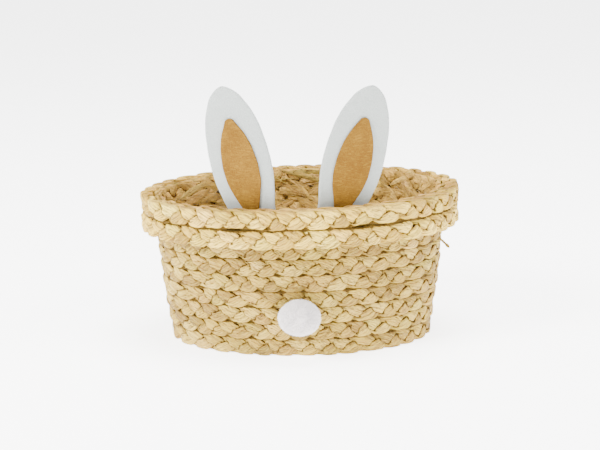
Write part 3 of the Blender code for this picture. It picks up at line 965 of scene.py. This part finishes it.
def stray_straw():
    """The stray end of straw below the rim, at the +X end: a stalk and its split tip."""
    root = on_wall(STRAY_ROOT[0], np.array([STRAY_ROOT[1]]), WALL_THICK / 2 - 2.0 * MM, False)[0]
    share = np.linspace(0, 1, 9)[:, None]
    points = root + np.array(STRAY_FALL) * share - np.array([0.0, 0.0, STRAY_SAG]) * share**2
    toward = (0.0, -1.0, 0.2)
    stalk = sliver(points, 2.0 * MM, 0.8 * MM, toward, 4.0, 0.2)
    tip = points[5:] + (0.4 * MM, 0.0, -0.2 * MM)
    return stalk, sliver(tip, 3.0 * MM, 0.8 * MM, toward, 5.0, 0.3)


def build_loose_husk(husk):
    rng = seeded(90)
    inside = Parts()
    for number in range(INSIDE_SLIVERS):
        inside.add(*inside_end(rng, WIDE_END if number % 5 < 3 else FINE_END))
    for strip in WALL_STRIPS:
        inside.add(*wall_strip(*strip))
    finish_piece(inside.piece("loose_husk_inside", husk), "husk")
    outside = Parts()
    for _ in range(OUTSIDE_FIBRES):
        outside.add(*outside_fibre(rng))
    for shape in stray_straw():
        outside.add(*shape)
    finish_piece(outside.piece("loose_husk_outside", husk), "husk")


# ---- ears


class Outline:
    """A felt leaf's outline: (half width, height) knots in millimetres, from the tip down."""

    def __init__(self, tip_radius, foot_radius, knots):
        self.halves, self.levels = np.array(knots[::-1]).T * MM
        self.foot, self.tip = float(self.levels[0]), float(self.levels[-1])
        self.tip_radius = tip_radius
        self.foot_radius = foot_radius

    def smooth_half(self, heights):
        """Half widths at the heights, curving through the knots."""
        slopes = np.gradient(self.halves, self.levels)
        low = np.clip(np.searchsorted(self.levels, heights) - 1, 0, len(self.levels) - 2)
        span = self.levels[low + 1] - self.levels[low]
        t = (heights - self.levels[low]) / span
        return (
            (2 * t**3 - 3 * t**2 + 1) * self.halves[low]
            + (t**3 - 2 * t**2 + t) * span * slopes[low]
            + (3 * t**2 - 2 * t**3) * self.halves[low + 1]
            + (t**3 - t**2) * span * slopes[low + 1]
        )

    def half(self, levels):
        """Half widths at the levels, with the tip and the foot rounded off."""
        half = self.smooth_half(np.clip(levels, self.foot, self.tip))
        for end, radius in ((self.tip, self.tip_radius), (self.foot, self.foot_radius)):
            gap = np.abs(levels - end)
            rounded = np.sqrt(np.clip(1 - (1 - gap / radius) ** 2, 0, 1))
            half = np.where(gap < radius, half * rounded, half)
        return half

    def flat_size(self):
        """(width, height, area) of the leaf laid flat."""
        levels = np.linspace(self.foot, self.tip, 400)
        half = self.half(levels)
        return 2 * float(half.max()), self.tip - self.foot, float(np.trapz(2 * half, levels))


EAR_KNOTS = (
    ((9.6, 106.0), (14.1, 96.0), (19.3, 85.5), (23.3, 73.5), (25.9, 57.0), (27.1, 38.0))
    + ((26.4, 24.0), (23.9, 9.0), (20.6, -6.0), (18.6, -25.0), (17.6, -37.5))
)
INNER_KNOTS = (
    ((3.0, 77.8), (5.6, 72.5), (9.5, 65.0), (13.0, 55.0), (15.3, 42.0))
    + ((15.8, 30.0), (14.2, 17.0), (10.2, 4.7), (6.4, -6.3), (5.4, -9.5))
)
EAR_OUTLINE = Outline(12.0 * MM, 6.0 * MM, EAR_KNOTS)
INNER_OUTLINE = Outline(2.0 * MM, 2.0 * MM, INNER_KNOTS)
INNER_LIFT = EAR_FELT / 2 + FELT_GAP / 2 + INNER_FELT / 2
# Each leaf of an ear: name, outline, thickness, how far its middle stands off the ear's plane,
# slot, the nodes it stands for, and how many hairs it has
FELTS = (
    ("felt_ear", EAR_OUTLINE, EAR_FELT, 0.0, "felt_white", ("ear", "ear_tab"), 5200),
    ("felt_inner_ear", INNER_OUTLINE, INNER_FELT, INNER_LIFT, "felt_tan", ("inner_ear",), 2600),
)
FELT_STEP = 1.6 * MM
FELT_ACROSS = 22
HAIR_LENGTH = 0.9 * MM
HAIR_THICK = 0.035 * MM
# The sewing on a tab's inner face
TAB_DROP = 22.0 * MM
TAB_WAVES = 8
TAB_HALF = 14.0 * MM
TAB_REACH = 1.3 * MM


def ear_matrix(side):
    """An ear's turn and place, from its joint: X along the fold, Y up the felt, Z out of the basket."""
    joint = next(joint for joint in frame["joints"] if joint["name"] == f"{side}_ear_bend")
    along = Vector(joint["axis"]).normalized()
    outward = Vector((along.y, -along.x, 0.0))
    up = (Vector((0.0, 0.0, 1.0)) + outward * WALL_LEAN).normalized()
    turn = Matrix((along, up, along.cross(up))).transposed()
    return np.array(turn), np.array(Vector(joint["pos_m"]))


def ear_bow(x, y):
    """How far the felt stands off its plane: a slight cup and wave, and the wall's curve at its foot."""
    free = smoothstep(0.0, 0.07, y)
    tucked = smoothstep(-0.004, -0.03, y)
    cup = -0.9 * MM * (x / (24 * MM)) ** 2 * free
    wave = 0.5 * MM * np.sin(y * 55 + 0.6) * free
    round_wall = -1.0 * MM * (1 - np.clip(np.abs(x) / (20 * MM), 0, 1) ** 2) * tucked
    return cup + wave - round_wall


def felt_leaf(outline, thick, lift, rng, tilt):
    """(points, faces) of a leaf of felt in the ear's own axes, turned by tilt in its plane."""
    tip_gaps = outline.tip_radius * (1 - np.cos(np.linspace(0.12, math.pi / 2, 10)))
    foot_gaps = outline.foot_radius * (1 - np.cos(np.linspace(0.2, math.pi / 2, 6)))
    body = np.arange(outline.foot + foot_gaps[-1], outline.tip - tip_gaps[-1], FELT_STEP)
    levels = np.concatenate([outline.foot + foot_gaps[:-1], body, outline.tip - tip_gaps[::-1]])
    half = outline.half(levels)
    half = half + 0.07 * MM * np.sin(levels * 420 + rng.uniform(0, 6)) * (half > 4 * MM)
    spread = np.sin(np.linspace(-math.pi / 2, math.pi / 2, FELT_ACROSS))
    ring = np.concatenate([spread, spread[::-1]])
    face = np.repeat([1.0, -1.0], FELT_ACROSS)
    edge = np.minimum((1 - np.abs(ring)) * half[:, None], thick / 2)
    depth = np.sqrt(np.clip(1 - (1 - edge / (thick / 2)) ** 2, 0, 1)) * 0.75 + 0.25
    off = face * thick / 2 * depth + rng.normal(0, 0.05 * MM, edge.shape)
    x, y, z = triple(ring * half[:, None], levels[:, None], off).reshape(-1, 3).T
    along = x * math.cos(tilt) - y * math.sin(tilt)
    up = x * math.sin(tilt) + y * math.cos(tilt)
    points = triple(along, up, z + lift + ear_bow(along + up * math.tan(tilt), up))
    return points, tube_faces(len(levels), len(ring))[:, ::-1]


def fuzz(points, faces, rng, count):
    """Fine fibres standing off a surface, each a three-sided spike."""
    corners = points[faces]
    normal = np.cross(corners[:, 1] - corners[:, 0], corners[:, 3] - corners[:, 0])
    area = np.linalg.norm(normal, axis=1)
    chosen = rng.choice(len(faces), count, p=area / area.sum())
    a, b = rng.random((2, count, 1))
    first, second, third, fourth = corners[chosen].swapaxes(0, 1)
    root = (1 - a) * (1 - b) * first + a * (1 - b) * second + a * b * third + (1 - a) * b * fourth
    normal = normal[chosen] / (area[chosen, None] + 1e-12)
    away = unit(normal * 0.55 + rng.normal(0, 0.6, (count, 3)))
    side = unit(np.cross(away, rng.normal(0, 1, (count, 3))))
    other = np.cross(away, side)
    reach = HAIR_LENGTH * rng.uniform(0.4, 1.0, (count, 1))
    foot = root - normal * 0.1 * MM
    ring = round_skin(foot, side * HAIR_THICK, other * HAIR_THICK, 3)
    spikes = np.concatenate([ring, (foot + away * reach)[:, None, :]], axis=1)
    pattern = np.array([[0, 1, 3], [1, 2, 3], [2, 0, 3], [0, 2, 1]])
    return spikes.reshape(-1, 3), (np.arange(count)[:, None, None] * 4 + pattern).reshape(-1, 3)


def build_ear(side, felts, cotton):
    turn, fold = ear_matrix(side)
    tilt = EAR_SPLAY[side]
    rng = seeded(200 if side == "left" else 300)
    for name, outline, thick, lift, slot, nodes, hairs in FELTS:
        points, faces = felt_leaf(outline, thick, lift, rng, tilt)
        spikes, spike_faces = fuzz(points, faces, rng, hairs)
        world = np.vstack([points, spikes]) @ turn.T + fold
        every = faces.tolist() + (spike_faces + len(points)).tolist()
        piece = mesh_piece(f"{side}_{name}", world, every, felts[slot])
        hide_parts(*(f"{side}_{node}" for node in nodes))
        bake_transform(piece)
        width, height, area = outline.flat_size()
    build_ear_stitches(side, turn, fold, cotton)


def build_ear_stitches(side, turn, fold, cotton):
    """Zigzag sewing on the tab's inner face."""
    drift = math.tan(EAR_SPLAY[side]) * TAB_DROP
    spots = []
    for step in range(TAB_WAVES * 2 + 1):
        along = TAB_HALF * (step / TAB_WAVES - 1)
        level = (TAB_REACH if step % 2 else -TAB_REACH) - TAB_DROP
        for shift, off in ((-0.25 * MM, 0.15 * MM), (0.25 * MM, 0.25 * MM)):
            spots.append((along + drift + shift, level, ear_bow(along, level) - (EAR_FELT / 2 + off)))
    sewing = Parts().add(*tube(np.array(spots) @ turn.T + fold, TAB_THREAD, 8))
    finish_piece(sewing.piece(f"{side}_tab_sewing", cotton), "cotton", f"{side}_ear_stitches")


# ---- pom-pom

YARN_ENDS = 12000
YARN_TUFTS = 420
YARN_RINGS = ((0.76, 0.22), (0.92, 0.22), (1.0, 0.06))  # share of the reach, radius in millimetres
YARN_CORE = 0.885  # the dense middle, as a share of the ball


def pompom_lumps(away):
    """A few soft lumps over the ball, -1 to 1."""
    x, y, z = away.T
    return 0.5 * np.sin(5 * x + 2 * z) + 0.3 * np.sin(7 * z - 3 * y + 1) + 0.2 * np.sin(11 * x - 5 * z + 2)


def yarn_ends(radii, rng):
    """(points, faces) of the cut ends of yarn, gathered in tufts, each a tapered three-sided rod."""
    index = np.arange(YARN_ENDS) + 0.5
    polar = np.arccos(1 - 2 * index / YARN_ENDS)
    around = math.pi * (1 + 5**0.5) * index
    away = triple(np.cos(around) * np.sin(polar), np.sin(around) * np.sin(polar), np.cos(polar))
    away = unit(away + rng.normal(0, 0.05, away.shape))
    tufts = unit(rng.normal(0, 1, (YARN_TUFTS, 3)))
    closeness = away @ tufts.T
    height = smoothstep(0.975, 1.0, closeness.max(axis=1)) - 0.5
    away = unit(away + 0.35 * (tufts[closeness.argmax(axis=1)] - away))
    rough = rng.normal(0, 0.016, YARN_ENDS)
    reach = (0.960 + 0.020 * pompom_lumps(away) + 0.040 * height + rough)[:, None]
    bend = rng.normal(0, 1, away.shape)
    bend = unit(bend - away * (bend * away).sum(axis=1, keepdims=True))
    side = np.cross(away, bend)
    points = []
    for share, thin in YARN_RINGS:
        middle = (away * reach * share + bend * 0.84 * (share - 0.6) ** 2) * radii
        points.append(round_skin(middle, bend * thin * MM, side * thin * MM, 3))
    rods = np.arange(YARN_ENDS)[:, None, None] * 9
    walls = [[a, b, b + 3, a + 3] for a, b in ((0, 1), (1, 2), (2, 0), (3, 4), (4, 5), (5, 3))]
    quads = (rods + np.array(walls)).reshape(-1, 4)
    ends = (rods + np.array([[0, 2, 1], [6, 7, 8]])).reshape(-1, 3)
    return np.stack(points, axis=1).reshape(-1, 3), quads.tolist() + ends.tolist()


def pompom_core(radii):
    """The dense middle of the ball, which the cut ends stand out of."""
    rings, around = 36, 64
    polar = np.linspace(0.02, math.pi - 0.02, rings)[:, None]
    turn = circle(around)
    away = triple(np.sin(polar) * np.cos(turn), np.sin(polar) * np.sin(turn), np.cos(polar)).reshape(-1, 3)
    points = away * radii * (YARN_CORE + 0.022 * pompom_lumps(away))[:, None]
    return points, tube_faces(rings, around)


def build_pompom(yarn):
    low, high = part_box("pompom")
    centre = np.array((low + high) / 2)
    radii = np.array((high - low) / 2)
    points, faces = yarn_ends(radii, seeded(400))
    core, core_faces = pompom_core(radii)
    every = faces + (core_faces + len(points)).tolist()
    piece = mesh_piece("pompom_yarn_ball", np.vstack([points, core]) + centre, every, yarn)
    finish_piece(piece, "pom_white", "pompom")


# ---- stage, lights and camera

FLOOR_SIZE = 12.0
FLOOR_DROP = 0.2 * MM
WORLD_GLOW = 0.80
LIGHT_AIM = (0.0, 0.0, 0.08)
# Soft round lights: name, place, diameter, watts
LIGHTS = (
    ("key", (-1.25, -0.85, 1.25), 0.7, 74.0),
    ("side", (-1.4, -0.35, 0.45), 0.9, 13.0),
    ("fill", (1.35, -0.6, 1.15), 1.1, 38.0),
    ("top", (0.15, 0.0, 1.7), 0.9, 60.0),
)
CAMERA_DISTANCE = 1.40
CAMERA_ELEVATION = math.radians(14.0)
CAMERA_ROLL = math.radians(0.9)
CAMERA_AIM = (0.0, 0.0, 0.1012)
CAMERA_LENS = 91.5  # millimetres on a 36 mm wide sensor


def build_stage():
    bpy.ops.mesh.primitive_plane_add(size=FLOOR_SIZE, location=(0.0, 0.0, -FLOOR_DROP))
    floor = bpy.context.object
    floor.name = "floor"
    floor.data.materials.append(paper_material())


def area_light(name, place, size, watts):
    data = bpy.data.lights.new(name, "AREA")
    data.shape = "DISK"
    data.size = size
    data.energy = watts
    light = placed(name, data)
    light.location = place
    light.rotation_euler = (Vector(LIGHT_AIM) - Vector(place)).to_track_quat("-Z", "Y").to_euler()


def build_lights():
    world = bpy.data.worlds.new("studio")
    world.use_nodes = True
    background = world.node_tree.nodes["Background"]
    background.inputs["Color"].default_value = WHITE
    background.inputs["Strength"].default_value = WORLD_GLOW
    bpy.context.scene.world = world
    for light in LIGHTS:
        area_light(*light)


def build_camera():
    data = bpy.data.cameras.new("camera")
    data.sensor_width = 36.0
    data.lens = CAMERA_LENS
    data.clip_start = 0.05
    camera = placed("camera", data)
    away = Vector((0.0, -math.cos(CAMERA_ELEVATION), math.sin(CAMERA_ELEVATION)))
    camera.location = Vector(CAMERA_AIM) + away * CAMERA_DISTANCE
    turned = (-away).to_track_quat("-Z", "Y").to_matrix() @ Matrix.Rotation(-CAMERA_ROLL, 3, "Z")
    camera.rotation_euler = turned.to_euler()
    bpy.context.scene.camera = camera


# ---- the whole scene


def finish_tie(cotton):
    """The pom-pom's tie, the one node whose own shape is kept."""
    tie = frame["nodes"]["pompom_tie"]
    tie.data.materials.clear()
    tie.data.materials.append(cotton)


def main():
    build_camera()
    build_stage()
    build_lights()
    husk = husk_material("plaited_husk", HUSK_LEAVES, HUSK_INSIDE_LIGHT)
    # The rim's husk is a lit copy of the wall's: painted light, paler leaves.
    lit_rim_leaves = [tuple(min(RIM_PAINTED_LIGHT * part, 1.0) for part in leaf) for leaf in HUSK_LEAVES]
    lit_rim_husk = husk_material("plaited_husk_rim_lit", lit_rim_leaves, RIM_INSIDE_LIGHT)
    white = felt_material("white_felt", FELT_WHITE, sheen=0.3, strokes_share=0.3)
    tan = felt_material("tan_felt", FELT_TAN, sheen=0.04, strokes_share=0.45)
    yarn = yarn_material()
    cotton = cotton_material()
    build_plaits(husk, lit_rim_husk)
    build_threads(cotton)
    build_loose_husk(husk)
    for side in EAR_SPLAY:
        build_ear(side, {"felt_white": white, "felt_tan": tan}, cotton)
    build_pompom(yarn)
    finish_tie(cotton)


main()
